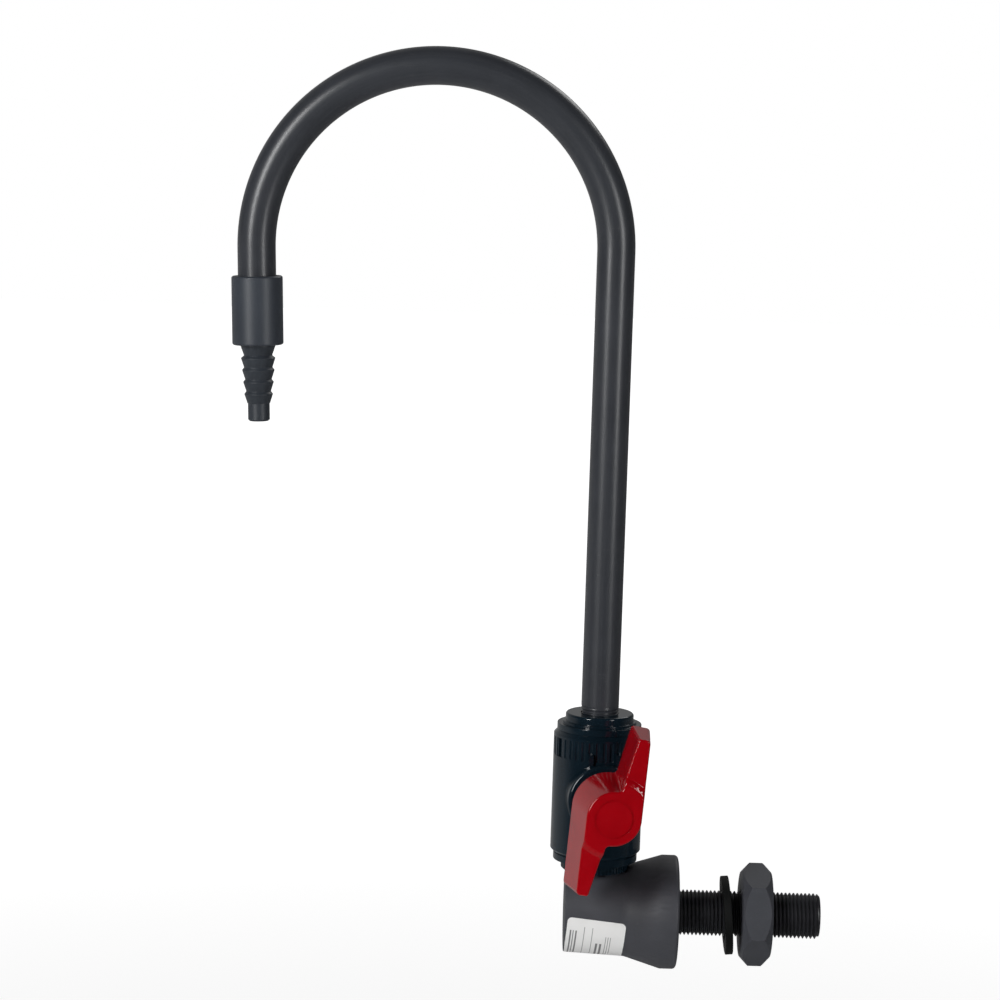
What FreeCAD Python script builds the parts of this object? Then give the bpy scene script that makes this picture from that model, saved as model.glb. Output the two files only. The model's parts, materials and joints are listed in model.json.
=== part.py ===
"""A wall-mounted laboratory faucet in rigid plastic, as separate pieces.

All sizes are millimetres and degrees. The origin is the middle of the flange's back face, where the
faucet meets the wall. +X runs into the wall along the threaded shank, +Z is up, and the valve handle
faces -Y. The gooseneck bends over towards -X and ends in a stepped hose nozzle.
"""

import FreeCAD, Part
import math
import os
import Sketcher

# Driving sizes. Radii are measured from the axis of the piece they name.
SIZES = {
    # gaps between pieces
    "joint_gap": 0.05,  # radial gap of a screwed or cemented joint
    "running_gap": 0.08,  # radial gap of a piece that turns
    "face_gap": 0.3,  # gap between end faces inside a socket
    # pipe, and the path of the gooseneck
    "pipe_radius": 8.57,
    "pipe_bore": 5.37,
    "riser_offset": 38.5,  # riser axis to the wall face
    "bend_height": 301.5,  # middle of the bend above the shank axis
    "bend_radius": 80.5,
    "bend_angle": 182.0,
    "outlet_straight": 12.4,  # end of the bend to the outlet coupling
    # faucet body, turned about the shank axis
    "body_length": 51.8,
    "body_end_radius": 19.5,
    "body_end_round": 0.5,
    "waist_radius": 20.7,
    "waist_distance": 24.5,  # foot of the flare, from the wall face
    "waist_round": 14.0,
    "flange_radius": 26.0,
    "flange_width": 7.4,
    "flange_round": 1.8,
    "waterway_radius": 5.7,
    "drop_radius": 5.4,  # from the waterway up to the nipple
    "shank_socket": 17.0,
    "nipple_foot": 7.0,  # lower end of the nipple above the shank axis
    "spot_face_gap": 0.3,  # around and below the valve's lower collar
    # threaded shank with its washer and lock nut
    "shank_radius": 10.35,
    "shank_bore": 6.0,
    "shank_length": 65.4,  # from the wall face
    "shank_chamfer": 1.2,
    "washer_radius": 18.0,
    "washer_play": 1.25,  # radius of its hole beyond the shank's
    "washer_rest_gap": 0.5,  # above the shank inside its hole, as it hangs
    "washer_thickness": 3.4,
    "washer_distance": 23.0,
    "washer_tilt": 4.9,
    "nut_distance": 29.2,
    "nut_thickness": 13.8,
    "nut_corner_angle": 15.0,  # of its first corner, from level
    "nut_across_flats": 40.8,
    "nut_face_radius": 19.4,
    "nut_chamfer": 3.9,  # depth of the turned chamfer at a corner
    "nut_countersink": 0.8,
    # ball valve, upright on the nipple
    "valve_bottom": 19.7,  # lower end above the shank axis
    "valve_yaw": 6.0,
    "valve_radius": 20.6,
    "valve_length": 57.2,
    "valve_chamfer": 1.8,
    "valve_bore": 11.0,
    "flute_count": 40,
    "flute_radius": 1.2,
    "flute_depth": 0.45,
    "flute_foot": 17.2,  # lower end of the flutes above the ball
    "flute_length": 8.6,
    "slot_angle": 203.0,  # a single deeper slot among the flutes
    "slot_half_angle": 2.4,
    "slot_depth": 1.3,
    "ring_radius": 19.2,
    "ring_height": 3.0,
    "lip_radius": 16.8,
    "lip_height": 1.1,
    "collar_radius": 15.5,
    "collar_height": 4.7,
    "collar_round": 0.6,
    "notch_count": 56,
    "notch_width": 0.8,
    "notch_depth": 0.5,
    "pipe_socket": 13.5,
    "spigot_groove": 14.0,  # o-ring groove, above the ball
    "groove_width": 2.1,
    "groove_radius": 9.3,
    "spigot_ring_radius": 10.12,
    "spigot_ring_section": 0.78,
    # ball and its seats
    "ball_radius": 9.5,
    "ball_bore": 5.0,
    "ball_gap": 0.25,
    "seat_near": 5.6,
    "seat_far": 11.2,
    "seat_bore": 5.4,
    "tang_width": 9.0,
    "tang_thickness": 3.0,
    "tang_foot": 7.05,  # from the middle of the ball
    # boss on the front of the valve, and the stem through it
    "boss_radius": 16.5,
    "boss_face": 25.0,
    "boss_round": 1.5,
    "neck_radius": 6.95,
    "neck_face": 31.7,
    "stop_inner": 9.4,
    "stop_outer": 13.0,
    "stop_height": 5.2,
    "stop_angle": 135.0,  # middle of the handle's stop tab when open
    "tab_half_angle": 12.0,
    "tab_gap": 0.7,
    "turn": 90.0,
    "lug_spread": 6.1,
    "lug_width": 2.0,
    "lug_reach": 4.4,
    "lug_face": 21.5,
    "stem_radius": 5.0,
    "stem_flange_radius": 6.6,
    "stem_flange_foot": 11.25,
    "stem_flange_height": 1.8,
    "chamber_gap": 0.2,
    "drive_width": 6.6,
    "drive_length": 16.0,
    "inner_ring_place": 17.0,
    "outer_ring_place": 22.0,
    "stem_groove_width": 1.6,
    "stem_groove_radius": 3.8,
    "stem_ring_radius": 4.4,
    "stem_ring_section": 0.57,
    # handle, an S of two drafted wings on a round hub
    "handle_foot": 32.4,  # open back of the handle, from the riser axis
    "handle_height": 25.2,
    "handle_draft": 7.6,
    "inner_draft": 1.0,  # of the wings' inner sides
    "end_draft": 3.0,  # of the wings' ends
    "handle_wall": 2.3,
    "handle_face": 3.0,
    "hub_radius": 15.6,
    "wing_lean": 4.5,
    "wing_length": 36.9,
    "wing_tip_width": 8.6,
    "wing_tip_slant": 10.0,
    "root_angle": 76.0,  # where a wing's inner edge leaves the hub
    "root_shift": 4.6,  # degrees that it moves for each millimetre inwards
    "outer_tip_round": 2.0,
    "inner_tip_round": 1.2,
    "wing_hollow": 12.0,
    "hub_hollow_step": 0.4,
    "wing_recess": 2.5,
    "recess_inner": 15.4,
    "recess_outer": 18.9,
    "edge_round": 0.9,
    "root_round": 2.0,
    "core_radius": 7.2,
    "socket_gap": 0.05,
    "mark_inner": 8.0,
    "mark_outer": 8.7,
    "mark_depth": 0.35,
    # outlet coupling and hose nozzle
    "coupling_radius": 11.5,
    "coupling_length": 30.9,
    "coupling_chamfer": 0.6,
    "coupling_socket": 12.5,
    "nozzle_socket": 13.0,
    "nozzle_radius": 7.95,
    "nozzle_bore": 3.4,
    "neck_small_radius": 6.35,
    "neck_end": 4.8,
    "barb_count": 4,
    "barb_first": 6.0,
    "barb_pitch": 5.4,
    "barb_rise": 1.2,
    "barb_radius": 7.75,
    "barb_step": 0.43,
    "barb_drop": 1.35,
    "tip_radius": 4.9,
    "tip_length": 8.0,
    "tip_chamfer": 0.7,
}


class Size:
    """A number together with the sheet formula that it comes from."""

    def __init__(self, value, formula):
        self.value = value
        self.formula = formula

    def joined(self, sign, other, value):
        return Size(value, f"({self.formula} {sign} {as_size(other).formula})")

    def __add__(self, other):
        return self.joined("+", other, self.value + as_size(other).value)

    def __sub__(self, other):
        return self.joined("-", other, self.value - as_size(other).value)

    def __mul__(self, other):
        return self.joined("*", other, self.value * as_size(other).value)

    def __truediv__(self, other):
        return self.joined("/", other, self.value / as_size(other).value)

    def __neg__(self):
        return Size(-self.value, f"(0 - {self.formula})")


def as_size(number):
    """A Size stays as it is, and a plain number becomes one."""
    if isinstance(number, Size):
        return number
    return Size(float(number), f"({number})")


def cosine(angle):
    return Size(math.cos(math.radians(angle.value)), f"cos({angle.formula})")


def sine(angle):
    return Size(math.sin(math.radians(angle.value)), f"sin({angle.formula})")


def tangent(angle):
    return Size(math.tan(math.radians(angle.value)), f"tan({angle.formula})")


def polar(radius, angle):
    """The point at this radius and angle, as two sizes."""
    return as_size(radius) * cosine(angle), as_size(radius) * sine(angle)


doc = FreeCAD.newDocument("faucet")
sheet = doc.addObject("Spreadsheet::Sheet", "Sizes")
row = 0
for alias, number in SIZES.items():
    row += 1
    sheet.set(f"A{row}", alias.replace("_", " "))
    sheet.set(f"B{row}", str(number))
    sheet.setAlias(f"B{row}", alias)
doc.recompute()


class Sizes:
    """Each driving size by its name, such as Sizes.pipe_radius."""


for alias in SIZES:
    setattr(Sizes, alias, Size(float(sheet.get(alias)), f"Sizes.{alias}"))

S = Sizes
ZERO = Size(0.0, "0")

# Places that several pieces share.
cap_height = S.ring_height + S.collar_height
ball_height = S.valve_bottom + cap_height + S.valve_length / 2
valve_top = S.valve_bottom + S.valve_length + cap_height * 2
coupling_end = S.outlet_straight + S.coupling_length
handle_front = S.handle_foot + S.handle_height


def bind(item, path, size):
    """Give a property its number and tie it to the sheet."""
    item.setExpression(path, as_size(size).formula)


def new_body(label):
    body = doc.addObject("PartDesign::Body", label)
    body.Label = label
    return body


def place(body, x=ZERO, z=ZERO, turn_axis=None, angle=None):
    """Stand a body at (x, 0, z), turned about an axis by an angle from the sheet."""
    if turn_axis is not None:
        body.Placement = FreeCAD.Placement(
            FreeCAD.Vector(0, 0, 0), FreeCAD.Rotation(FreeCAD.Vector(*turn_axis), 1)
        )
        body.setExpression("Placement.Rotation.Angle", f"{angle.formula} * 1 deg")
    bind(body, "Placement.Base.x", x)
    bind(body, "Placement.Base.z", z)


def place_on_valve(body):
    """Valve pieces are drawn about the middle of the ball and turned with the valve."""
    place(body, -S.riser_offset, ball_height, (0, 0, 1), S.valve_yaw)


def place_on_outlet(body):
    """Outlet pieces are drawn down the outlet leg from the end of the bend."""
    across, up = polar(S.bend_radius, S.bend_angle)
    x = across - S.riser_offset - S.bend_radius
    place(body, x, S.bend_height + up, (0, 1, 0), -S.bend_angle)


def origin_part(body, role):
    return next(part for part in body.Origin.OriginFeatures if part.Role == role)


def new_sketch(body, name, plane, offset=None):
    """A sketch on one of the body's own planes, moved along its normal by an offset."""
    sketch = body.newObject("Sketcher::SketchObject", name)
    sketch.AttachmentSupport = (origin_part(body, plane), [""])
    sketch.MapMode = "FlatFace"
    if offset is not None:
        bind(sketch, "AttachmentOffset.Base.z", offset)
    return sketch


def pin_point(sketch, shape, end, point):
    """Hold one end of a sketch line at a point whose two places come from the sheet."""
    for kind, axis, size in (("DistanceX", -2, point[0]), ("DistanceY", -1, point[1])):
        if size.value == 0:
            sketch.addConstraint(Sketcher.Constraint("PointOnObject", shape, end, axis))
        else:
            index = sketch.addConstraint(
                Sketcher.Constraint(kind, -1, 1, shape, end, size.value)
            )
            bind(sketch, f"Constraints[{index}]", size)


def vector(point):
    return FreeCAD.Vector(point[0].value, point[1].value, 0)


def draw_polygon(sketch, points):
    """Closed outline of straight lines through points that are pairs of sizes."""
    points = [(as_size(a), as_size(b)) for a, b in points]
    first = sketch.GeometryCount
    count = len(points)
    for index in range(count):
        start, end = points[index], points[(index + 1) % count]
        sketch.addGeometry(Part.LineSegment(vector(start), vector(end)))
    for index in range(count):
        line, following = first + index, first + (index + 1) % count
        sketch.addConstraint(Sketcher.Constraint("Coincident", line, 2, following, 1))
        pin_point(sketch, line, 1, points[index])


def draw_circle(sketch, radius, across=ZERO, up=ZERO):
    middle = FreeCAD.Vector(across.value, up.value, 0)
    circle = sketch.addGeometry(
        Part.Circle(middle, FreeCAD.Vector(0, 0, 1), radius.value)
    )
    pin_point(sketch, circle, 3, (across, up))
    index = sketch.addConstraint(
        Sketcher.Constraint("Radius", circle, radius.value)
    )
    bind(sketch, f"Constraints[{index}]", radius)


def solid_volume(body):
    doc.recompute()
    return body.Shape.Volume


def checked_cut(body, feature, before):
    """A pocket or groove that removes nothing is a mistake in its direction."""
    if solid_volume(body) > before - 1e-3:
        raise RuntimeError(f"{body.Label}: {feature.Label} cuts nothing")
    return feature


def turned(body, name, points, plane="XZ_Plane", axis="V_Axis", cut=False):
    """Revolve an outline about a sketch axis, or cut it away as a groove."""
    before = 0 if not cut else solid_volume(body)
    sketch = new_sketch(body, f"{name}_outline", plane)
    draw_polygon(sketch, points)
    kind = "PartDesign::Groove" if cut else "PartDesign::Revolution"
    feature = body.newObject(kind, name)
    feature.Profile = sketch
    feature.ReferenceAxis = (sketch, [axis])
    feature.Angle = 360.0
    sketch.Visibility = False
    doc.recompute()
    return checked_cut(body, feature, before) if cut else feature


def pad(body, name, sketch, length, taper=None, backwards=False):
    feature = body.newObject("PartDesign::Pad", name)
    feature.Profile = sketch
    feature.Reversed = backwards
    bind(feature, "Length", length)
    if taper is not None:
        bind(feature, "TaperAngle", taper)
    doc.recompute()
    return feature


def pocket(body, name, sketch, length, taper=None, backwards=False):
    before = solid_volume(body)
    feature = body.newObject("PartDesign::Pocket", name)
    feature.Profile = sketch
    feature.Reversed = backwards
    bind(feature, "Length", length)
    if taper is not None:
        bind(feature, "TaperAngle", taper)
    return checked_cut(body, feature, before)


def polar_pattern(body, name, original, axis_role, count):
    feature = body.newObject("PartDesign::PolarPattern", name)
    feature.Originals = [original]
    feature.Axis = (origin_part(body, axis_role), [""])
    feature.Angle = 360.0
    bind(feature, "Occurrences", count)
    body.Tip = feature
    doc.recompute()
    return feature


def edges_where(feature, test):
    """Names of the edges of a feature that pass a test."""
    edges = enumerate(feature.Shape.Edges, start=1)
    return [f"Edge{number}" for number, edge in edges if test(edge)]


def ring_edge(radius, axial, direction):
    """A test for the round edge of this radius, this far along an axis direction."""

    def test(edge):
        if not isinstance(edge.Curve, Part.Circle):
            return False
        along = edge.Curve.Center.dot(FreeCAD.Vector(*direction))
        same_radius = abs(edge.Curve.Radius - radius.value) < 1e-4
        return same_radius and abs(along - axial.value) < 1e-4

    return test


def dress(body, kind, name, test, amount):
    """Fillet or chamfer the edges of the body's last feature that pass a test."""
    base = body.Tip
    names = edges_where(base, test)
    if not names:
        raise RuntimeError(f"{body.Label}: {name} finds no edge")
    feature = body.newObject(f"PartDesign::{kind}", name)
    feature.Base = (base, names)
    bind(feature, "Radius" if kind == "Fillet" else "Size", amount)
    doc.recompute()
    if "Invalid" in feature.State:
        raise RuntimeError(f"{body.Label}: {name} fails")
    return feature


def tube_outline(start, end, outer, bore, chamfer=ZERO):
    """Section of a straight tube, with its outer corners chamfered at the far end."""
    if chamfer.value == 0:
        return [(bore, start), (outer, start), (outer, end), (bore, end)]
    corner = [(outer, end - chamfer), (outer - chamfer, end)]
    return [(bore, start), (outer, start), *corner, (bore, end)]


def flipped(points):
    """The same outline with its two places exchanged."""
    return [(b, a) for a, b in points]


X_AXIS = (1, 0, 0)


# Faucet body

def make_faucet_body():
    """A blunt trumpet turned about the shank axis, with a port on top for the nipple."""
    body = new_body("faucet_body")
    outline = [
        (-S.body_length, ZERO),
        (-S.body_length, S.body_end_radius),
        (-S.waist_distance, S.waist_radius),
        (-S.flange_width, S.flange_radius),
        (ZERO, S.flange_radius),
        (ZERO, ZERO),
    ]
    turned(body, "trumpet", outline, axis="H_Axis")
    waist = ring_edge(S.waist_radius, -S.waist_distance, X_AXIS)
    dress(body, "Fillet", "waist", waist, S.waist_round)
    end = ring_edge(S.body_end_radius, -S.body_length, X_AXIS)
    dress(body, "Fillet", "end_round", end, S.body_end_round)
    rim = ring_edge(S.flange_radius, ZERO, X_AXIS)
    dress(body, "Fillet", "rim", rim, S.flange_round)
    socket = S.shank_radius + S.joint_gap
    inner_end = -(S.riser_offset + S.waterway_radius)
    waterway = [
        (inner_end, ZERO),
        (inner_end, S.waterway_radius),
        (-S.shank_socket, S.waterway_radius),
        (-S.shank_socket, socket),
        (ZERO, socket),
        (ZERO, ZERO),
    ]
    turned(body, "waterway", waterway, axis="H_Axis", cut=True)
    port = new_sketch(body, "port_outline", "XY_Plane", S.nipple_foot)
    draw_circle(port, S.pipe_radius + S.joint_gap, -S.riser_offset)
    pocket(body, "port", port, S.flange_radius, backwards=True)
    spot = new_sketch(body, "spot_face_outline", "XY_Plane", S.valve_bottom - S.spot_face_gap)
    draw_circle(spot, S.collar_radius + S.spot_face_gap, -S.riser_offset)
    pocket(body, "spot_face", spot, S.flange_radius, backwards=True)
    drop = new_sketch(body, "drop_outline", "XY_Plane")
    draw_circle(drop, S.drop_radius, -S.riser_offset)
    pocket(body, "drop", drop, S.nipple_foot + S.joint_gap, backwards=True)
    place(body)
    return body


# Shank, washer and lock nut

def make_shank():
    """Threaded nipple that holds the faucet in its wall, shown at its crest size."""
    body = new_body("shank")
    start = S.face_gap - S.shank_socket
    outline = tube_outline(start, S.shank_length, S.shank_radius, S.shank_bore, S.shank_chamfer)
    turned(body, "tube", flipped(outline), axis="H_Axis")
    place(body)
    return body


def make_washer():
    """Rubber washer hanging loose on the shank, its lower edge tipped towards the nut."""
    body = new_body("sealing_washer")
    half = S.washer_thickness / 2
    outline = tube_outline(-half, half, S.washer_radius, S.shank_radius + S.washer_play)
    turned(body, "disc", flipped(outline), axis="H_Axis")
    hang = S.washer_play - S.washer_rest_gap
    place(body, S.washer_distance, -hang, (0, 1, 0), -S.washer_tilt)
    return body


def make_lock_nut():
    """Hexagon nut with turned chamfers at both ends of its corners."""
    body = new_body("lock_nut")
    corner = S.nut_across_flats / cosine(Size(30.0, "30")) / 2
    hexagon = [polar(corner, S.nut_corner_angle + 60 * k) for k in range(6)]
    sketch = new_sketch(body, "hexagon", "YZ_Plane")
    draw_polygon(sketch, hexagon)
    pad(body, "blank", sketch, S.nut_thickness)
    beyond = corner + 2
    depth = S.nut_chamfer * (beyond - S.nut_face_radius) / (corner - S.nut_face_radius)
    ends = ((ZERO, depth), (S.nut_thickness, S.nut_thickness - depth))
    for number, (face, inside) in enumerate(ends, start=1):
        cone = [(face, S.nut_face_radius), (face, beyond), (inside, beyond)]
        turned(body, f"chamfer_{number}", cone, axis="H_Axis", cut=True)
    bore = S.shank_radius + S.running_gap
    mouth = bore + S.nut_countersink
    bored = [
        (ZERO, ZERO),
        (ZERO, mouth),
        (S.nut_countersink, bore),
        (S.nut_thickness - S.nut_countersink, bore),
        (S.nut_thickness, mouth),
        (S.nut_thickness, ZERO),
    ]
    turned(body, "bore", bored, axis="H_Axis", cut=True)
    place(body, S.nut_distance)
    return body


def make_valve_nipple():
    """Short pipe that joins the body's port to the lower end of the valve."""
    body = new_body("valve_nipple")
    top = S.valve_bottom + S.pipe_socket - S.face_gap
    outline = tube_outline(S.nipple_foot + S.joint_gap, top, S.pipe_radius, S.pipe_bore)
    turned(body, "tube", outline)
    place(body, -S.riser_offset)
    return body


# Ball valve

def make_valve_body():
    """Round housing with a fluted top band, and a boss on the front for the stem."""
    body = new_body("valve_body")
    half = S.valve_length / 2
    shoulder = S.valve_radius - S.valve_chamfer
    outline = [
        (ZERO, -half),
        (shoulder, -half),
        (S.valve_radius, S.valve_chamfer - half),
        (S.valve_radius, half - S.valve_chamfer),
        (shoulder, half),
        (ZERO, half),
    ]
    turned(body, "housing", outline)
    flute = new_sketch(body, "flute_outline", "XY_Plane", S.flute_foot)
    draw_circle(flute, S.flute_radius, S.valve_radius + S.flute_radius - S.flute_depth)
    cut = pocket(body, "flute", flute, S.flute_length, backwards=True)
    polar_pattern(body, "flutes", cut, "Z_Axis", S.flute_count)
    slot = new_sketch(body, "slot_outline", "XY_Plane", S.flute_foot)
    low, high = S.slot_angle - S.slot_half_angle, S.slot_angle + S.slot_half_angle
    floor, beyond = S.valve_radius - S.slot_depth, S.valve_radius + 1
    draw_polygon(slot, [polar(floor, low), polar(beyond, low), polar(beyond, high), polar(floor, high)])
    pocket(body, "slot", slot, S.flute_length, backwards=True)
    boss = new_sketch(body, "boss_outline", "XZ_Plane")
    draw_circle(boss, S.boss_radius)
    pad(body, "boss", boss, S.boss_face)
    face = ring_edge(S.boss_radius, S.boss_face, (0, -1, 0))
    dress(body, "Fillet", "boss_edge", face, S.boss_round)
    stop = new_sketch(body, "stop_outline", "XZ_Plane", S.boss_face - 1)
    draw_circle(stop, S.stop_outer)
    draw_circle(stop, S.stop_inner)
    pad(body, "stop_ring", stop, S.stop_height + 1)
    free = S.tab_half_angle + S.tab_gap
    reach = S.stop_outer * 3
    wedge = new_sketch(body, "stop_gap_outline", "XZ_Plane", S.boss_face)
    sides = (S.stop_angle - S.turn - free, S.stop_angle - S.turn / 2, S.stop_angle + free)
    draw_polygon(wedge, [(ZERO, ZERO), *(polar(reach, side) for side in sides)])
    pocket(body, "stop_gap", wedge, S.stop_height + 1, backwards=True)
    neck = new_sketch(body, "neck_outline", "XZ_Plane", S.boss_face - 1)
    draw_circle(neck, S.neck_radius)
    pad(body, "neck", neck, S.neck_face - S.boss_face + 1)
    lug_foot = S.boss_radius - 1
    for name, side in (("left_lug", -S.lug_spread), ("right_lug", S.lug_spread)):
        lug = new_sketch(body, f"{name}_outline", "XZ_Plane", S.valve_bore + 4)
        near, far = side - S.lug_width / 2, side + S.lug_width / 2
        top = S.boss_radius + S.lug_reach
        draw_polygon(lug, [(near, lug_foot), (far, lug_foot), (far, top), (near, top)])
        pad(body, name, lug, S.lug_face - S.valve_bore - 4)
    bore = new_sketch(body, "bore_outline", "XY_Plane", -S.valve_length / 2)
    draw_circle(bore, S.valve_bore)
    pocket(body, "bore", bore, S.valve_length, backwards=True)
    chamber = new_sketch(body, "chamber_outline", "XZ_Plane")
    draw_circle(chamber, S.stem_flange_radius + S.chamber_gap)
    depth = S.stem_flange_foot + S.stem_flange_height + S.chamber_gap
    pocket(body, "stem_chamber", chamber, depth, backwards=True)
    hole = new_sketch(body, "stem_hole_outline", "XZ_Plane")
    draw_circle(hole, S.stem_radius + S.running_gap)
    pocket(body, "stem_hole", hole, S.neck_face + 1, backwards=True)
    place_on_valve(body)
    return body


def connector_outline():
    """Half section of an end connector, drawn upwards from the middle of the ball."""
    end = S.valve_length / 2
    ring_top = end + S.ring_height
    top = ring_top + S.collar_height
    groove_foot = S.spigot_groove - S.groove_width / 2
    spigot = S.valve_bore - S.joint_gap
    return [
        (S.seat_bore, S.seat_far + S.joint_gap),
        (spigot, S.seat_far + S.joint_gap),
        (spigot, groove_foot),
        (S.groove_radius, groove_foot),
        (S.groove_radius, groove_foot + S.groove_width),
        (spigot, groove_foot + S.groove_width),
        (spigot, end),
        (S.ring_radius, end),
        (S.ring_radius, ring_top),
        (S.lip_radius, ring_top),
        (S.lip_radius, ring_top + S.lip_height),
        (S.collar_radius, ring_top + S.lip_height),
        (S.collar_radius, top - S.collar_round),
        (S.collar_radius - S.collar_round, top),
        (S.pipe_radius + S.joint_gap, top),
        (S.pipe_radius + S.joint_gap, top - S.pipe_socket),
        (S.seat_bore, top - S.pipe_socket),
    ]


def mirrored(points):
    """The same half section below the ball."""
    return [(across, -up) for across, up in points]


def make_upper_connector():
    """Screwed-in end of the valve that takes the foot of the gooseneck."""
    body = new_body("upper_end_connector")
    turned(body, "connector", connector_outline())
    place_on_valve(body)
    return body


def make_lower_connector():
    """The same end below, with a notched collar for gripping it."""
    body = new_body("lower_end_connector")
    turned(body, "connector", mirrored(connector_outline()))
    end = S.valve_length / 2 + cap_height
    notch = new_sketch(body, "notch_outline", "XY_Plane", -end)
    half = S.notch_width / 2
    floor, beyond = S.collar_radius - S.notch_depth, S.collar_radius + 1
    draw_polygon(notch, [(floor, -half), (beyond, -half), (beyond, half), (floor, half)])
    depth = S.collar_height - S.lip_height
    cut = pocket(body, "notch", notch, depth, backwards=True)
    polar_pattern(body, "notches", cut, "Z_Axis", S.notch_count)
    place_on_valve(body)
    return body


def make_ring(label, radius, section, height, plane="XY_Plane"):
    """Round rubber ring about the normal of a plane, this far along it."""
    body = new_body(label)
    torus = body.newObject("PartDesign::AdditiveTorus", "ring")
    torus.AttachmentSupport = (origin_part(body, plane), [""])
    torus.MapMode = "FlatFace"
    bind(torus, "AttachmentOffset.Base.z", height)
    bind(torus, "Radius1", radius)
    bind(torus, "Radius2", section)
    doc.recompute()
    place_on_valve(body)
    return body


def make_seat(label, side):
    """Plastic seat ring, hollowed to the ball on its inner face. Side is 1 above, -1 below."""
    body = new_body(label)
    outer = S.valve_bore - S.joint_gap
    outline = tube_outline(S.seat_near, S.seat_far, outer, S.seat_bore)
    turned(body, "ring", outline if side > 0 else mirrored(outline))
    before = solid_volume(body)
    hollow = body.newObject("PartDesign::SubtractiveSphere", "hollow")
    bind(hollow, "Radius", S.ball_radius + S.ball_gap)
    checked_cut(body, hollow, before)
    place_on_valve(body)
    return body


def make_ball():
    """Bored ball, shown open, with a slot in its front for the stem's tang."""
    body = new_body("ball")
    sphere = body.newObject("PartDesign::AdditiveSphere", "sphere")
    bind(sphere, "Radius", S.ball_radius)
    bore = new_sketch(body, "bore_outline", "XY_Plane", -S.ball_radius)
    draw_circle(bore, S.ball_bore)
    pocket(body, "bore", bore, S.ball_radius * 2, backwards=True)
    slot = new_sketch(body, "slot_outline", "XZ_Plane", S.tang_foot - S.joint_gap)
    half = S.tang_thickness / 2 + S.joint_gap
    reach = S.ball_radius
    draw_polygon(slot, [(-reach, -half), (reach, -half), (reach, half), (-reach, half)])
    pocket(body, "slot", slot, S.ball_radius, backwards=True)
    place_on_valve(body)
    return body


def box_outline(sketch, across, up):
    """A rectangle about the middle of a sketch."""
    a, b = across / 2, up / 2
    draw_polygon(sketch, [(-a, -b), (a, -b), (a, b), (-a, b)])


def make_stem():
    """Stem with a tang for the ball, a retaining flange, two ring grooves and a square drive."""
    body = new_body("stem")
    foot = S.stem_flange_foot
    outline = [
        (ZERO, -foot),
        (S.stem_flange_radius, -foot),
        (S.stem_flange_radius, -(foot + S.stem_flange_height)),
        (S.stem_radius, -(foot + S.stem_flange_height)),
    ]
    half = S.stem_groove_width / 2
    for middle in (S.inner_ring_place, S.outer_ring_place):
        outline += [
            (S.stem_radius, -(middle - half)),
            (S.stem_groove_radius, -(middle - half)),
            (S.stem_groove_radius, -(middle + half)),
            (S.stem_radius, -(middle + half)),
        ]
    shoulder = S.handle_foot - S.face_gap
    outline += [(S.stem_radius, -shoulder), (ZERO, -shoulder)]
    turned(body, "shaft", outline, plane="XY_Plane")
    tang = new_sketch(body, "tang_outline", "XZ_Plane", S.tang_foot)
    box_outline(tang, S.tang_width, S.tang_thickness)
    pad(body, "tang", tang, S.stem_flange_foot - S.tang_foot + 1)
    drive = new_sketch(body, "drive_outline", "XZ_Plane", shoulder - 1)
    box_outline(drive, S.drive_width, S.drive_width)
    pad(body, "drive", drive, S.drive_length + 1)
    place_on_valve(body)
    return body


# Handle

def draw_handle(sketch, inset, height):
    """Outline of the whole S at a height above the handle's open back, moved inwards by an inset.

    A wing's outer edge touches the hub's circle and leans outwards, and an arc of the hub
    joins the root of one wing to the foot of the other.
    """
    lean_in = height * tangent(S.handle_draft)
    hub = S.hub_radius - inset - lean_in
    foot = polar(hub, -S.wing_lean)
    length = S.wing_length - inset - height * tangent(S.end_draft)
    outer = (foot[0] + sine(S.wing_lean) * length, foot[1] + cosine(S.wing_lean) * length)
    width = S.wing_tip_width - inset * 2 - lean_in - height * tangent(S.inner_draft)
    slant = polar(width, S.wing_tip_slant)
    inner = (outer[0] - slant[0], outer[1] + slant[1])
    root_angle = S.root_angle - S.root_shift * inset
    wing = [foot, outer, inner, polar(hub, root_angle)]
    circle = Part.Circle(vector((ZERO, ZERO)), FreeCAD.Vector(0, 0, 1), hub.value)
    for side in (0, 1):
        points = wing if side == 0 else [(-a, -b) for a, b in wing]
        for start, end in zip(points, points[1:]):
            sketch.addGeometry(Part.LineSegment(vector(start), vector(end)))
        begin = math.radians(180 * side + root_angle.value)
        finish = math.radians(180 * side + 180 - S.wing_lean.value)
        sketch.addGeometry(Part.ArcOfCircle(circle, begin, finish))
    for first in (0, 4):
        points = wing if first == 0 else [(-a, -b) for a, b in wing]
        for line in range(3):
            joint = Sketcher.Constraint("Coincident", first + line, 2, first + line + 1, 1)
            sketch.addConstraint(joint)
            pin_point(sketch, first + line, 2, points[line + 1])
        pin_point(sketch, first + 3, 3, (ZERO, ZERO))
        following = (first + 4) % 8
        sketch.addConstraint(Sketcher.Constraint("Tangent", first + 3, 2, following, 1))


def loft_handle(body, name, inset, height, cut=False):
    """Loft the S forwards from the handle's back, its walls leaning in by their drafts."""
    back = new_sketch(body, f"{name}_back", "XZ_Plane", S.handle_foot)
    draw_handle(back, inset, ZERO)
    front = new_sketch(body, f"{name}_front", "XZ_Plane", S.handle_foot + height)
    draw_handle(front, inset, height)
    before = 0 if not cut else solid_volume(body)
    kind = "PartDesign::SubtractiveLoft" if cut else "PartDesign::AdditiveLoft"
    feature = body.newObject(kind, name)
    feature.Profile = back
    feature.Sections = [front]
    feature.Ruled = True
    doc.recompute()
    return checked_cut(body, feature, before) if cut else feature


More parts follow.
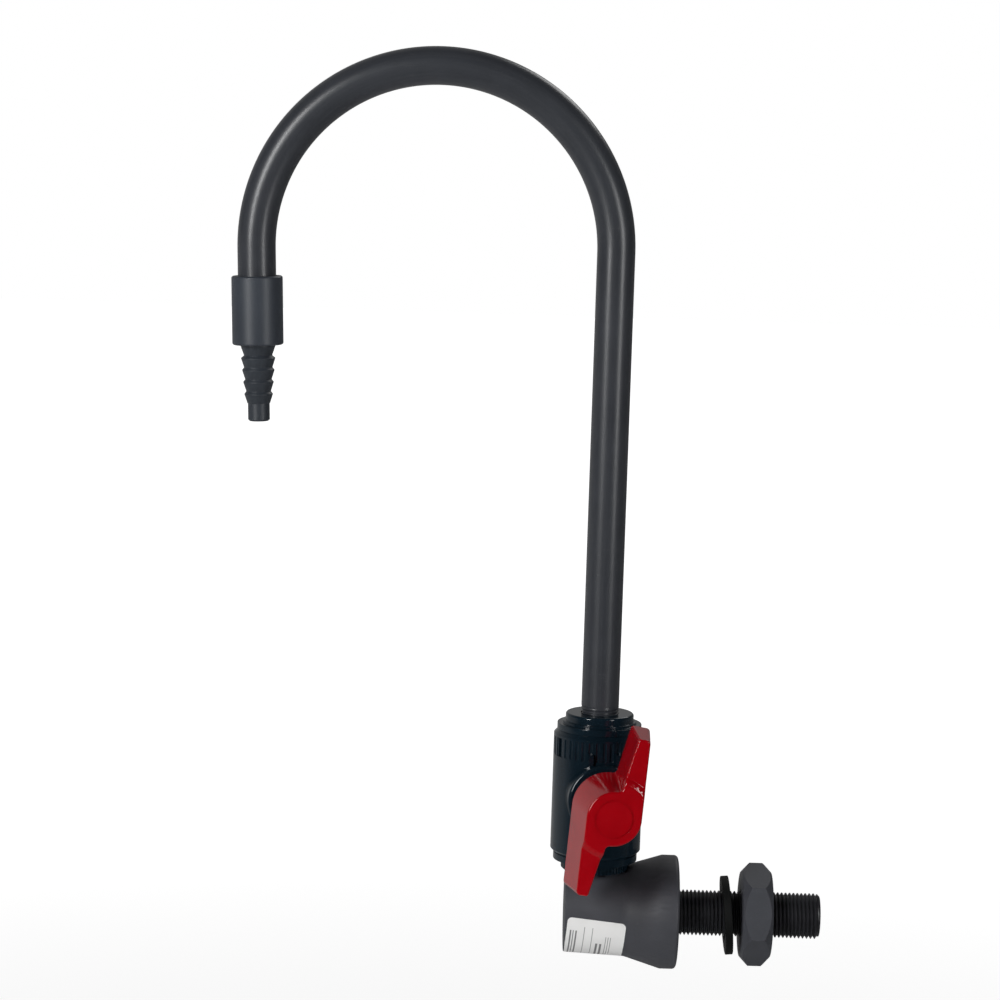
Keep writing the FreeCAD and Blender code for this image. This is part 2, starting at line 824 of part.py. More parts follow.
def make_handle():
    """Moulded S-shaped handle: drafted walls, hollow from behind, round hub with a core."""
    body = new_body("handle")
    loft_handle(body, "block", ZERO, S.handle_height)

    def upright(near, far, least, most):
        """A test for corner edges that run from the back towards the front.

        It takes those between two radii whose side place lies between two limits.
        """

        def test(edge):
            ends = [vertex.Point for vertex in edge.Vertexes]
            if len(ends) != 2 or abs(ends[0].y - ends[1].y) < S.handle_height.value / 2:
                return False
            middle = (ends[0] + ends[1]) / 2
            across = math.copysign(middle.x, middle.x * middle.z)
            inside = near < math.hypot(middle.x, middle.z) < far
            return inside and least < across < most

        return test

    tip, hub_edge = S.wing_length.value * 0.7, S.hub_radius.value
    outer_tip, inner_tip = upright(tip, 99, hub_edge, 99), upright(tip, 99, 0, hub_edge)
    dress(body, "Fillet", "outer_tip_rounds", outer_tip, S.outer_tip_round)
    dress(body, "Fillet", "inner_tip_rounds", inner_tip, S.inner_tip_round)
    root = upright(hub_edge * 0.8, hub_edge * 1.05, 0, hub_edge / 2)
    dress(body, "Fillet", "root_rounds", root, S.root_round)

    def flat_at(depth):
        """A test for edges in the plane this far back from the front, but not on the step."""

        def test(edge):
            box = edge.BoundBox
            place = depth.value - handle_front.value
            if box.YLength > 1e-4 or abs(box.YMin - place) > 1e-4:
                return False
            on_step = isinstance(edge.Curve, Part.Circle) and depth.value > 0
            return not on_step

        return test

    dress(body, "Fillet", "hub_face_round", flat_at(ZERO), S.edge_round)
    recess = [
        (S.recess_inner * 2 - S.recess_outer, -(handle_front + S.wing_recess)),
        (S.recess_outer, -(handle_front - S.wing_recess)),
        (S.wing_length * 2, -(handle_front - S.wing_recess)),
        (S.wing_length * 2, -(handle_front + S.wing_recess)),
    ]
    turned(body, "wing_recess", recess, plane="XY_Plane", cut=True)
    dress(body, "Fillet", "wing_face_rounds", flat_at(S.wing_recess), S.edge_round)
    mark = [
        (S.mark_inner, -(handle_front + 1)),
        (S.mark_inner, S.mark_depth - handle_front),
        (S.mark_outer, S.mark_depth - handle_front),
        (S.mark_outer, -(handle_front + 1)),
    ]
    turned(body, "hub_mark", mark, plane="XY_Plane", cut=True)
    loft_handle(body, "wing_hollow", S.handle_wall, S.wing_hollow, cut=True)
    hollow = new_sketch(body, "hub_hollow_outline", "XZ_Plane", S.handle_foot)
    draw_circle(hollow, S.hub_radius - S.handle_wall - S.hub_hollow_step)
    depth = S.handle_height - S.handle_face
    pocket(body, "hub_hollow", hollow, depth, -S.handle_draft, backwards=True)
    core = new_sketch(body, "core_outline", "XZ_Plane", S.handle_foot)
    draw_circle(core, S.core_radius)
    pad(body, "core", core, depth + 1)
    tab_foot = S.boss_face + S.stop_height / 3
    tab = new_sketch(body, "stop_tab_outline", "XZ_Plane", tab_foot)
    low, high = S.stop_angle - S.tab_half_angle, S.stop_angle + S.tab_half_angle
    inner, outer = S.neck_radius + S.face_gap, S.stop_outer - S.face_gap
    draw_polygon(
        tab, [polar(inner, low), polar(outer, low), polar(outer, high), polar(inner, high)]
    )
    pad(body, "stop_tab", tab, handle_front - S.handle_face - tab_foot)
    socket = new_sketch(body, "socket_outline", "XZ_Plane", S.handle_foot - 1)
    width = S.drive_width + S.socket_gap * 2
    box_outline(socket, width, width)
    pocket(body, "socket", socket, S.drive_length + 1, backwards=True)
    place_on_valve(body)
    return body


# Gooseneck and outlet

def make_gooseneck():
    """Pipe swept up the riser, round the bend and down into the outlet coupling."""
    body = new_body("gooseneck_tube")
    foot = valve_top - S.pipe_socket + S.face_gap
    leg = S.outlet_straight + S.coupling_socket - S.face_gap
    across, up = polar(S.bend_radius, S.bend_angle)
    bend_end = (across - S.bend_radius, S.bend_height + up)
    outlet = (bend_end[0] - sine(S.bend_angle) * leg, bend_end[1] + cosine(S.bend_angle) * leg)
    spine = new_sketch(body, "spine", "XZ_Plane")
    top, middle = (ZERO, S.bend_height), (-S.bend_radius, S.bend_height)
    riser = spine.addGeometry(Part.LineSegment(vector((ZERO, foot)), vector(top)))
    circle = Part.Circle(vector(middle), FreeCAD.Vector(0, 0, 1), S.bend_radius.value)
    angle = math.radians(S.bend_angle.value)
    bend = spine.addGeometry(Part.ArcOfCircle(circle, 0, angle))
    drop = spine.addGeometry(Part.LineSegment(vector(bend_end), vector(outlet)))
    pin_point(spine, riser, 1, (ZERO, foot))
    pin_point(spine, riser, 2, top)
    pin_point(spine, bend, 3, middle)
    spine.addConstraint(Sketcher.Constraint("Coincident", riser, 2, bend, 1))
    spine.addConstraint(Sketcher.Constraint("Tangent", bend, 2, drop, 1))
    pin_point(spine, drop, 2, outlet)
    section = new_sketch(body, "section", "XY_Plane", foot)
    draw_circle(section, S.pipe_radius)
    draw_circle(section, S.pipe_bore)
    doc.recompute()
    pipe = body.newObject("PartDesign::AdditivePipe", "pipe")
    pipe.Profile = section
    pipe.Spine = (spine, ["Edge1", "Edge2", "Edge3"])
    place(body, -S.riser_offset)
    return body


def make_coupling():
    """Plain sleeve that joins the pipe to the nozzle."""
    body = new_body("outlet_coupling")
    start, end = S.outlet_straight, coupling_end
    corner = S.coupling_radius - S.coupling_chamfer
    pipe, nozzle = S.pipe_radius + S.joint_gap, S.nozzle_radius + S.joint_gap
    outline = [
        (pipe, start),
        (corner, start),
        (S.coupling_radius, start + S.coupling_chamfer),
        (S.coupling_radius, end - S.coupling_chamfer),
        (corner, end),
        (nozzle, end),
        (nozzle, end - S.nozzle_socket),
        (S.pipe_bore, end - S.nozzle_socket),
        (S.pipe_bore, start + S.coupling_socket),
        (pipe, start + S.coupling_socket),
    ]
    turned(body, "sleeve", outline)
    place_on_outlet(body)
    return body


def make_nozzle():
    """Hose nozzle with barbs that grow smaller towards a plain tip."""
    body = new_body("hose_nozzle")
    outline = [
        (S.nozzle_bore, coupling_end - S.nozzle_socket + S.face_gap),
        (S.nozzle_radius, coupling_end - S.nozzle_socket + S.face_gap),
        (S.nozzle_radius, coupling_end + S.face_gap),
        (S.neck_small_radius, coupling_end + S.neck_end),
    ]
    for number in range(SIZES["barb_count"]):
        peak = coupling_end + S.barb_first + S.barb_pitch * number
        radius = S.barb_radius - S.barb_step * number
        outline.append((radius, peak))
        outline.append((radius - S.barb_drop, peak + S.barb_pitch - S.barb_rise))
    tip = coupling_end + S.barb_first + S.barb_pitch * SIZES["barb_count"] - S.barb_rise
    end = tip + S.tip_length
    outline += [
        (S.tip_radius, tip),
        (S.tip_radius, end - S.tip_chamfer),
        (S.tip_radius - S.tip_chamfer, end),
        (S.nozzle_bore, end),
    ]
    turned(body, "nozzle", outline)
    place_on_outlet(body)
    return body


pieces = [
    make_faucet_body(),
    make_shank(),
    make_washer(),
    make_lock_nut(),
    make_valve_nipple(),
    make_valve_body(),
    make_lower_connector(),
    make_upper_connector(),
    make_ring("lower_connector_o_ring", S.spigot_ring_radius, S.spigot_ring_section, -S.spigot_groove),
    make_ring("upper_connector_o_ring", S.spigot_ring_radius, S.spigot_ring_section, S.spigot_groove),
    make_seat("lower_ball_seat", -1),
    make_seat("upper_ball_seat", 1),
    make_ball(),
    make_stem(),
    make_ring("inner_stem_o_ring", S.stem_ring_radius, S.stem_ring_section, S.inner_ring_place, "XZ_Plane"),
    make_ring("outer_stem_o_ring", S.stem_ring_radius, S.stem_ring_section, S.outer_ring_place, "XZ_Plane"),
    make_handle(),
    make_gooseneck(),
    make_coupling(),
    make_nozzle(),
]
doc.recompute()

for item in doc.Objects:
    if "Invalid" in item.State or "Error" in item.State:
        raise RuntimeError(f"{item.Label} failed: {item.State}")
for piece in pieces:
    shape = piece.Shape
    if shape.isNull() or not shape.isValid() or len(shape.Solids) != 1:
        raise RuntimeError(f"{piece.Label} is not one valid solid")

os.makedirs("parts", exist_ok=True)
for piece in pieces:
    piece.Shape.exportStep(f"parts/{piece.Label}.step")
    box = piece.Shape.BoundBox
    spans = (box.XMin, box.XMax, box.YMin, box.YMax, box.ZMin, box.ZMax)
    print(piece.Label, [round(value, 2) for value in spans], round(piece.Shape.Volume, 1))
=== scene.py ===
# %% [markdown]
# # A plastic laboratory faucet
#
# The faucet is a bent grey pipe on a small ball valve, above a trumpet-shaped body that a long threaded shank
# and a lock nut hold in a wall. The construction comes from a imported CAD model. This script gives each piece
# its finish, adds what the CAD leaves plain, such as the screw thread, and sets up light and camera.

# %% Load the frame
import bmesh
import bpy
import json
import math
from mathutils import Matrix, Vector
from mathutils.bvhtree import BVHTree


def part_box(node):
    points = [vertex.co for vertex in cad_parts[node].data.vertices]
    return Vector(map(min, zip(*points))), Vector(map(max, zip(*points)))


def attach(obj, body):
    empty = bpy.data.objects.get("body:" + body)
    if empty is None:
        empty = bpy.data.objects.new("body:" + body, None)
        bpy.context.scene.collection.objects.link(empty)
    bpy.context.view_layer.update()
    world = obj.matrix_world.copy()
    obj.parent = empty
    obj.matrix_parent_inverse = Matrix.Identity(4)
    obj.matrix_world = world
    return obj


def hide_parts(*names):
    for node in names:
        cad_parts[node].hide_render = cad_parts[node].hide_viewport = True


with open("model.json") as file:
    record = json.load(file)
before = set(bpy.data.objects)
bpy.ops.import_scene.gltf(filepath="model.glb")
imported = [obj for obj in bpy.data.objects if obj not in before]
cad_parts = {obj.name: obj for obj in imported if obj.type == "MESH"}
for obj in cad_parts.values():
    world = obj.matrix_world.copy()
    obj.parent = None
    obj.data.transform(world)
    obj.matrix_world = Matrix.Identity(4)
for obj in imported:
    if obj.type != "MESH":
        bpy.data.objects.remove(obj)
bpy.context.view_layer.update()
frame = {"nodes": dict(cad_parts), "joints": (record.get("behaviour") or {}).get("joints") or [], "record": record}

scene = bpy.context.scene
nodes = frame["nodes"]
MM = 0.001

# %% [markdown]
# ## Places that the frame gives
#
# Blender measures in metres. Sizes of the faucet are written in millimetres times MM, and those of the room
# around it in metres. Places come from the frame wherever it has them: the handle's hinge gives the middle of
# the valve and so where the riser stands, the mount at the hose tip gives the direction of the outlet, and a
# node's box gives its ends.

# %% Places and directions
joints = {joint["name"]: joint for joint in frame["joints"]}
mounts = {mount["name"]: mount for mount in frame["record"]["mounts"]}
valve_middle = Vector(joints["handle_turn"]["pos_m"])
outlet_down = Vector(mounts["hose_tip"]["axis"])
riser_x = valve_middle.x
print("the riser stands", round(-riser_x / MM, 1), "mm in front of the wall")

# %% [markdown]
# ## Camera
#
# The photograph was taken with a long lens from about the height of the bend, looking slightly down and rolled
# a little. The camera stands where the faucet's edges, measured in the photograph, put it. Lens and sensor are
# in millimetres.

# %% Camera
CAMERA_PLACE = Vector((-87.06, -1345.57, 360.79)) * MM
CAMERA_AIM = Vector((0.0, 0.99189, -0.12706))
CAMERA_RIGHT = Vector((0.99951, 0.00396, 0.03094))
LENS = 108.0
SENSOR_WIDTH = 36.0


def add_camera():
    data = bpy.data.cameras.new("photo_camera")
    data.lens = LENS
    data.sensor_width = SENSOR_WIDTH
    camera = bpy.data.objects.new("photo_camera", data)
    scene.collection.objects.link(camera)
    back = -CAMERA_AIM.normalized()
    right = (CAMERA_RIGHT - back * CAMERA_RIGHT.dot(back)).normalized()
    up = back.cross(right)
    axes = Matrix((right, up, back)).transposed()
    camera.matrix_world = Matrix.Translation(CAMERA_PLACE) @ axes.to_4x4()
    scene.camera = camera
    return camera


camera = add_camera()
print("camera", round((camera.location - valve_middle).length, 3), "m from the valve")

# %% [markdown]
# ## Light
#
# Dark glossy plastic is drawn by what it mirrors. A tall soft box on the left and a shorter one on the right
# give the two long soft streaks on the pipe. A weak box behind lights the back.

# %% Soft boxes
LIGHT_AIM = Vector((riser_x, 0.0, 0.15))
SOFT_BOXES = {  # place and (width, height) in metres, and power in watts
    "left_box": ((-1.08, -1.2, 0.66), (0.3, 0.95), 18.0),
    "back_box": ((0.6, 1.0, 1.2), (0.6, 0.6), 3.5),
    "right_box": ((0.98, -1.15, 0.36), (0.26, 0.62), 6.2),
}


def soft_box(name, place, size, power):
    """A rectangular lamp, turned towards the faucet."""
    data = bpy.data.lights.new(name, "AREA")
    data.shape = "RECTANGLE"
    data.size, data.size_y = size
    data.energy = power
    lamp = bpy.data.objects.new(name, data)
    scene.collection.objects.link(lamp)
    lamp.location = place
    lamp.rotation_euler = (LIGHT_AIM - Vector(place)).to_track_quat("-Z", "Y").to_euler()


for name, (place, size, power) in SOFT_BOXES.items():
    soft_box(name, place, size, power)

# %% [markdown]
# ## Room and floor
#
# The camera sees plain white. Mirror rays see white paper behind the faucet, which shows as pale rims on walls
# that are seen edge on, and none in front, as if a black card lay there, which keeps the faces towards the
# camera deep in colour. Light Path tells these rays apart. The pale floor lights the undersides and takes the
# faucet's shadow.

# %% Helpers for nodes
WHITE = (1.0, 1.0, 1.0, 1.0)


def feed(tree, socket, value):
    """Give a socket another node's output, or a plain value."""
    if isinstance(value, bpy.types.NodeSocket):
        tree.links.new(value, socket)
    else:
        socket.default_value = value


def add_node(tree, kind, settings=(), **inputs):
    """A node with some of its settings, and its inputs by name."""
    node = tree.nodes.new(kind)
    for key, value in dict(settings).items():
        setattr(node, key, value)
    for key, value in inputs.items():
        feed(tree, node.inputs[key], value)
    return node


def maths(tree, operation, *values):
    """The result of a Math node, which shader trees and Geometry Nodes trees share."""
    node = add_node(tree, "ShaderNodeMath", {"operation": operation})
    for socket, value in zip(node.inputs, values):
        feed(tree, socket, value)
    return node.outputs[0]


def ramp(tree, value, low, high, bottom, top, interpolation="SMOOTHSTEP"):
    """A value that goes from bottom to top between two limits."""
    node = add_node(tree, "ShaderNodeMapRange", {"interpolation_type": interpolation}, Value=value)
    for label, number in (("From Min", low), ("From Max", high), ("To Min", bottom), ("To Max", top)):
        node.inputs[label].default_value = number
    return node.outputs[0]


def shader_mix(tree, amount, first, second):
    """A shader that changes from the first to the second."""
    mix = tree.nodes.new("ShaderNodeMixShader")
    for socket, value in zip(mix.inputs, (amount, first, second)):
        feed(tree, socket, value)
    return mix.outputs[0]


# %% White paper in mirror rays
PAPER_LIGHT = 0.36
PAPER_IN_FRONT = 0.01
PAPER_SHARE_RIGHT = 0.35
PAPER_FULL_TO = -0.3
PAPER_LEAST_FROM = 0.6


def paper_glow(tree, place, front, back, far):
    """Brightness of the paper: next to none up to front, full from back on, and weaker to the right.

    Place is a direction or a point on the floor, and front, back and far are limits in its own measure.
    """
    parts = add_node(tree, "ShaderNodeSeparateXYZ", Vector=place).outputs
    behind = ramp(tree, parts[1], front, back, PAPER_IN_FRONT, PAPER_LIGHT)
    leftwards = ramp(tree, parts[0], PAPER_FULL_TO * far, PAPER_LEAST_FROM * far, 1.0, PAPER_SHARE_RIGHT)
    return maths(tree, "MULTIPLY", behind, leftwards)


# %% White room
ROOM_LIGHT = 0.05
BACK_LIGHT = 0.5


def add_world():
    """White for the camera, paper for mirror rays, and for all others a dim room that is lighter behind."""
    world = bpy.data.worlds.new("white_room")
    scene.world = world
    world.use_nodes = True
    tree = world.node_tree
    tree.nodes.clear()
    direction = add_node(tree, "ShaderNodeTexCoord").outputs["Generated"]
    depth = add_node(tree, "ShaderNodeSeparateXYZ", Vector=direction).outputs[1]
    strengths = (
        ramp(tree, depth, low=-0.1, high=0.8, bottom=ROOM_LIGHT, top=BACK_LIGHT),
        paper_glow(tree, direction, front=0.0, back=0.9, far=1.0),
        1.0,
    )
    room, paper, plain = [
        add_node(tree, "ShaderNodeBackground", Color=WHITE, Strength=strength).outputs[0]
        for strength in strengths
    ]
    path = add_node(tree, "ShaderNodeLightPath").outputs
    unseen = shader_mix(tree, path["Is Glossy Ray"], room, paper)
    seen = shader_mix(tree, path["Is Camera Ray"], unseen, plain)
    add_node(tree, "ShaderNodeOutputWorld", Surface=seen)


add_world()
print("world:", scene.world.name)

# %% Floor
FLOOR_HEIGHT = -0.32
FLOOR_REACH = 9.0
FLOOR_COLOUR = (0.8, 0.8, 0.8, 1.0)
GLOW_NEAR = 0.55
GLOW_FAR = 1.0
GLOW_UNSEEN = 0.13


def floor_paper():
    """Pale paper. Near the faucet the lamps and their shadows show on it, and further out it turns white."""
    paint = bpy.data.materials.new("floor_paper")
    paint.use_nodes = True
    tree = paint.node_tree
    shader = tree.nodes["Principled BSDF"]
    shader.inputs["Base Color"].default_value = FLOOR_COLOUR
    shader.inputs["Roughness"].default_value = 1.0
    shader.inputs["Specular IOR Level"].default_value = 0.0
    shader.inputs["Emission Color"].default_value = WHITE
    path = add_node(tree, "ShaderNodeLightPath").outputs
    place = add_node(tree, "ShaderNodeTexCoord").outputs["Object"]
    reach = tree.nodes.new("ShaderNodeVectorMath")
    reach.operation = "LENGTH"
    tree.links.new(place, reach.inputs[0])
    whiter = ramp(tree, reach.outputs["Value"], low=0.5, high=2.4, bottom=GLOW_NEAR, top=GLOW_FAR)
    seen = ramp(tree, path["Is Camera Ray"], 0.0, 1.0, GLOW_UNSEEN, 1.0)
    tree.links.new(maths(tree, "MULTIPLY", whiter, seen), shader.inputs["Emission Strength"])
    glow = paper_glow(tree, place, front=-1.0, back=0.5, far=1.6)
    mirrored = add_node(tree, "ShaderNodeEmission", Strength=glow).outputs[0]
    both = shader_mix(tree, path["Is Glossy Ray"], shader.outputs[0], mirrored)
    tree.links.new(both, tree.nodes["Material Output"].inputs["Surface"])
    return paint


def add_floor():
    mesh = bpy.data.meshes.new("floor")
    form = bmesh.new()
    corners = ((-1, -1), (1, -1), (1, 1), (-1, 1))
    form.faces.new([form.verts.new((x * FLOOR_REACH, y * FLOOR_REACH, FLOOR_HEIGHT)) for x, y in corners])
    form.to_mesh(mesh)
    form.free()
    floor = bpy.data.objects.new("floor", mesh)
    scene.collection.objects.link(floor)
    mesh.materials.append(floor_paper())
    return floor


floor = add_floor()
scene.view_settings.view_transform = "Standard"
print("floor:", round(floor.dimensions.x, 1), "m wide")

# %% [markdown]
# ## Shared effects for the plastics
#
# Two effects appear in several materials, so each is a node group that is built once. Moulded grain is the fine
# unevenness of a plastic skin. Rub marks are faint light scratches and dust that handling leaves on dark parts.

# %% Helpers for the effects
def group_tree(name, inputs, outputs):
    """A new shader node group with float inputs (name, value) and float outputs."""
    tree = bpy.data.node_groups.new(name, "ShaderNodeTree")
    for label, value in inputs:
        socket = tree.interface.new_socket(label, in_out="INPUT", socket_type="NodeSocketFloat")
        socket.default_value = value
    for label in outputs:
        tree.interface.new_socket(label, in_out="OUTPUT", socket_type="NodeSocketFloat")
    return tree, tree.nodes.new("NodeGroupInput").outputs, tree.nodes.new("NodeGroupOutput").inputs


def colour_mix(tree, amount, first, second):
    """A Mix node set to colour has its factor, A and B at inputs 0, 6 and 7, and its result at output 2."""
    node = add_node(tree, "ShaderNodeMix", {"data_type": "RGBA"})
    for index, value in ((0, amount), (6, first), (7, second)):
        feed(tree, node.inputs[index], value)
    return node.outputs[2]


def above(tree, value, threshold, gain):
    """How far a value lies above a threshold, times a gain."""
    return maths(tree, "MULTIPLY", maths(tree, "SUBTRACT", value, threshold), gain)


def clamped(tree, value):
    return add_node(tree, "ShaderNodeClamp", Value=value).outputs[0]


# %% Moulded grain
def build_moulded_grain():
    """Height and tone of a moulded skin, from coarse unevenness and fine grain."""
    tree, given, result = group_tree(
        "moulded_grain", [("Grain Scale", 900.0), ("Unevenness", 0.4)], ["Height", "Tone"]
    )
    place = add_node(tree, "ShaderNodeTexCoord").outputs["Object"]
    fine = add_node(tree, "ShaderNodeTexNoise", Vector=place, Scale=given["Grain Scale"], Detail=3.0)
    broad = add_node(tree, "ShaderNodeTexNoise", Vector=place, Scale=55.0, Detail=2.0)
    waves = maths(tree, "MULTIPLY", broad.outputs[0], given["Unevenness"])
    tree.links.new(maths(tree, "ADD", fine.outputs[0], waves), result["Height"])
    tree.links.new(broad.outputs[0], result["Tone"])
    return tree


moulded_grain = build_moulded_grain()
print("shared effect:", moulded_grain.name, len(moulded_grain.nodes), "nodes")

# %% Rub marks
SCRATCH_DIRECTIONS = [  # turn in radians, and noise stretched thin along one axis
    (0.5, (40.0, 1500.0, 1500.0)),
    (-0.9, (1500.0, 60.0, 1500.0)),
]
DUST_RADIUS = 0.16
DUST_EDGE = 8.0


def build_rub_marks():
    """A mask of thin scratches in two directions and of scattered dust, both in patches."""
    tree, given, result = group_tree("rub_marks", [("Scratches", 0.5), ("Dust", 0.5)], ["Mask"])
    place = add_node(tree, "ShaderNodeTexCoord").outputs["Object"]
    marks = []
    for turn, stretch in SCRATCH_DIRECTIONS:
        mapped = add_node(tree, "ShaderNodeMapping", Vector=place, Rotation=(turn, 0.3, turn), Scale=stretch)
        noise = add_node(tree, "ShaderNodeTexNoise", Vector=mapped.outputs[0], Scale=1.0, Detail=2.0)
        marks.append(above(tree, noise.outputs[0], threshold=0.63, gain=9.0))
    broad = add_node(tree, "ShaderNodeTexNoise", Vector=place, Scale=38.0, Detail=1.0)
    patches = clamped(tree, above(tree, broad.outputs[0], threshold=0.45, gain=5.0))
    lines = maths(tree, "MULTIPLY", maths(tree, "MAXIMUM", *marks), patches)
    lines = maths(tree, "MULTIPLY", lines, given["Scratches"])
    specks = add_node(tree, "ShaderNodeTexVoronoi", Vector=place, Scale=420.0).outputs["Distance"]
    near = clamped(tree, maths(tree, "MULTIPLY", maths(tree, "SUBTRACT", DUST_RADIUS, specks), DUST_EDGE))
    dust = maths(tree, "MULTIPLY", maths(tree, "MULTIPLY", near, patches), given["Dust"])
    tree.links.new(clamped(tree, maths(tree, "MAXIMUM", lines, dust)), result["Mask"])
    return tree


rub_marks = build_rub_marks()
print("shared effect:", rub_marks.name, len(rub_marks.nodes), "nodes")

# %% [markdown]
# ## Materials
#
# All the plastics are one recipe with different numbers: a base colour that drifts a little with the skin's
# tone, rub marks that are lighter and duller, and a bump from the grain. Roughness makes the difference between
# the chalky body, the satin pipe and the wet-looking valve.

# %% Recipe for plastic
TONE_SPREAD = 0.2
TONE_DULLNESS = 0.06
RUB_SHARE = 0.5
RUB_DULLNESS = 0.25
BUMP_DISTANCE = 0.1 * MM


def plastic(name, colour, rubbed, roughness, grain=0.3, scratches=0.5, dust=0.3, shine=0.5):
    """Moulded plastic. Rubbed is the colour of its scratches."""
    material = bpy.data.materials.new(name)
    material.use_nodes = True
    tree = material.node_tree
    shader = tree.nodes["Principled BSDF"].inputs
    shader["Specular IOR Level"].default_value = shine
    skin = add_node(tree, "ShaderNodeGroup", {"node_tree": moulded_grain}).outputs
    marks = add_node(tree, "ShaderNodeGroup", {"node_tree": rub_marks}, Scratches=scratches, Dust=dust)
    mask = marks.outputs["Mask"]
    dark = tuple(channel * (1.0 - TONE_SPREAD) for channel in colour) + (1.0,)
    light = tuple(channel * (1.0 + TONE_SPREAD) for channel in colour) + (1.0,)
    base = colour_mix(tree, skin["Tone"], dark, light)
    base = colour_mix(tree, maths(tree, "MULTIPLY", mask, RUB_SHARE), base, tuple(rubbed) + (1.0,))
    tree.links.new(base, shader["Base Color"])
    dull = maths(tree, "MULTIPLY_ADD", mask, RUB_DULLNESS, roughness)
    tree.links.new(maths(tree, "MULTIPLY_ADD", skin["Tone"], TONE_DULLNESS, dull), shader["Roughness"])
    bump = add_node(tree, "ShaderNodeBump", Strength=grain, Distance=BUMP_DISTANCE, Height=skin["Height"])
    tree.links.new(bump.outputs[0], shader["Normal"])
    return material


# %% Outer plastics
body_plastic = plastic("body_plastic", (0.053, 0.055, 0.065), (0.13, 0.13, 0.13), 0.5, grain=0.35)
nut_plastic = plastic("nut_plastic", (0.043, 0.046, 0.056), (0.12, 0.12, 0.12), 0.5, grain=0.35)
pipe_plastic = plastic("pipe_plastic", (0.033, 0.036, 0.043), (0.09, 0.09, 0.09), 0.3, grain=0.2)
sleeve_plastic = plastic("sleeve_plastic", (0.036, 0.043, 0.055), (0.09, 0.09, 0.09), 0.4, grain=0.25)
nozzle_plastic = plastic("nozzle_plastic", (0.03, 0.036, 0.045), (0.09, 0.09, 0.09), 0.4)
shank_plastic = plastic("shank_plastic", (0.016, 0.0165, 0.02), (0.05, 0.05, 0.05), 0.42, grain=0.2)
valve_plastic = plastic(
    "valve_plastic", (0.0052, 0.013, 0.0205), (0.02, 0.03, 0.035), 0.1, grain=0.06, scratches=0.2, dust=0.2
)
handle_plastic = plastic(
    "handle_plastic", (0.325, 0.0004, 0.004), (0.4, 0.03, 0.04), 0.09, grain=0.08, scratches=0.2, dust=0.2
)
washer_rubber = plastic(
    "washer_rubber", (0.0025, 0.003, 0.003), (0.02, 0.02, 0.02), 0.62, grain=0.4, shine=0.2
)

# %% Inner plastics and rubber
seal_rubber = plastic("seal_rubber", (0.01, 0.01, 0.01), (0.05, 0.05, 0.05), 0.5)
ball_plastic = plastic("ball_plastic", (0.1, 0.1, 0.11), (0.2, 0.2, 0.2), 0.25)
seat_plastic = plastic("seat_plastic", (0.8, 0.8, 0.78), (0.9, 0.9, 0.9), 0.4)
print("materials:", sorted(material.name for material in bpy.data.materials))

# %% [markdown]
# ## From CAD facets to a smooth skin
#
# A CAD piece arrives as loose flat triangles. A smooth copy joins them, dissolves the lines between triangles
# that lie in one plane, and is shaded smoothly. Where the CAD leaves an edge sharp, a small bevel lets it catch
# light. The body and the handle have their round edges in the CAD, so they get none.

# %% Helpers for finished pieces
SHARP_ANGLE = 35.0


def add_object(name, mesh):
    item = bpy.data.objects.new(name, mesh)
    scene.collection.objects.link(item)
    return item


def applied(item):
    """The same object, with its modifiers turned into plain mesh."""
    graph = bpy.context.evaluated_depsgraph_get()
    mesh = bpy.data.meshes.new_from_object(item.evaluated_get(graph))
    item.modifiers.clear()
    item.data = mesh
    return item


def shade(item, angle=SHARP_ANGLE):
    """Smooth shading, with edges steeper than the angle, in degrees, left sharp."""
    for face in item.data.polygons:
        face.use_smooth = True
    item.data.set_sharp_from_angle(angle=math.radians(angle))
    return item


def dress(item, material, body, slot, *replaced):
    """Give a finished piece its material and its body, and hide the nodes it stands for. The slot is not used."""
    item.data.materials.clear()
    item.data.materials.append(material)
    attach(item, body)
    if replaced:
        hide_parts(*replaced)
    return item


# %% Smooth copies of CAD pieces
JOIN_DISTANCE = 0.002 * MM
FLAT_ANGLE = math.radians(0.3)
BEVEL_ANGLE = math.radians(30.0)


def weigh_normals(item):
    """Normals that follow the large faces, so that only the rounded edges bend the light."""
    weighted = item.modifiers.new("weighted", "WEIGHTED_NORMAL")
    weighted.mode = "FACE_AREA"
    weighted.weight = 50
    weighted.keep_sharp = True
    return applied(item)


def skin_of(node, edge_round):
    """A joined copy of a CAD node, with its sharp edges bevelled by this width."""
    mesh = nodes[node].data.copy()
    form = bmesh.new()
    form.from_mesh(mesh)
    bmesh.ops.remove_doubles(form, verts=form.verts, dist=JOIN_DISTANCE)
    bmesh.ops.dissolve_limit(
        form, angle_limit=FLAT_ANGLE, use_dissolve_boundaries=False, verts=form.verts, edges=form.edges
    )
    form.to_mesh(mesh)
    form.free()
    item = add_object(f"{node}_skin", mesh)
    if edge_round:
        bevel = item.modifiers.new("edge_round", "BEVEL")
        bevel.width = edge_round
        bevel.segments = 2
        bevel.limit_method = "ANGLE"
        bevel.angle_limit = BEVEL_ANGLE
        applied(item)
    return weigh_normals(shade(item))


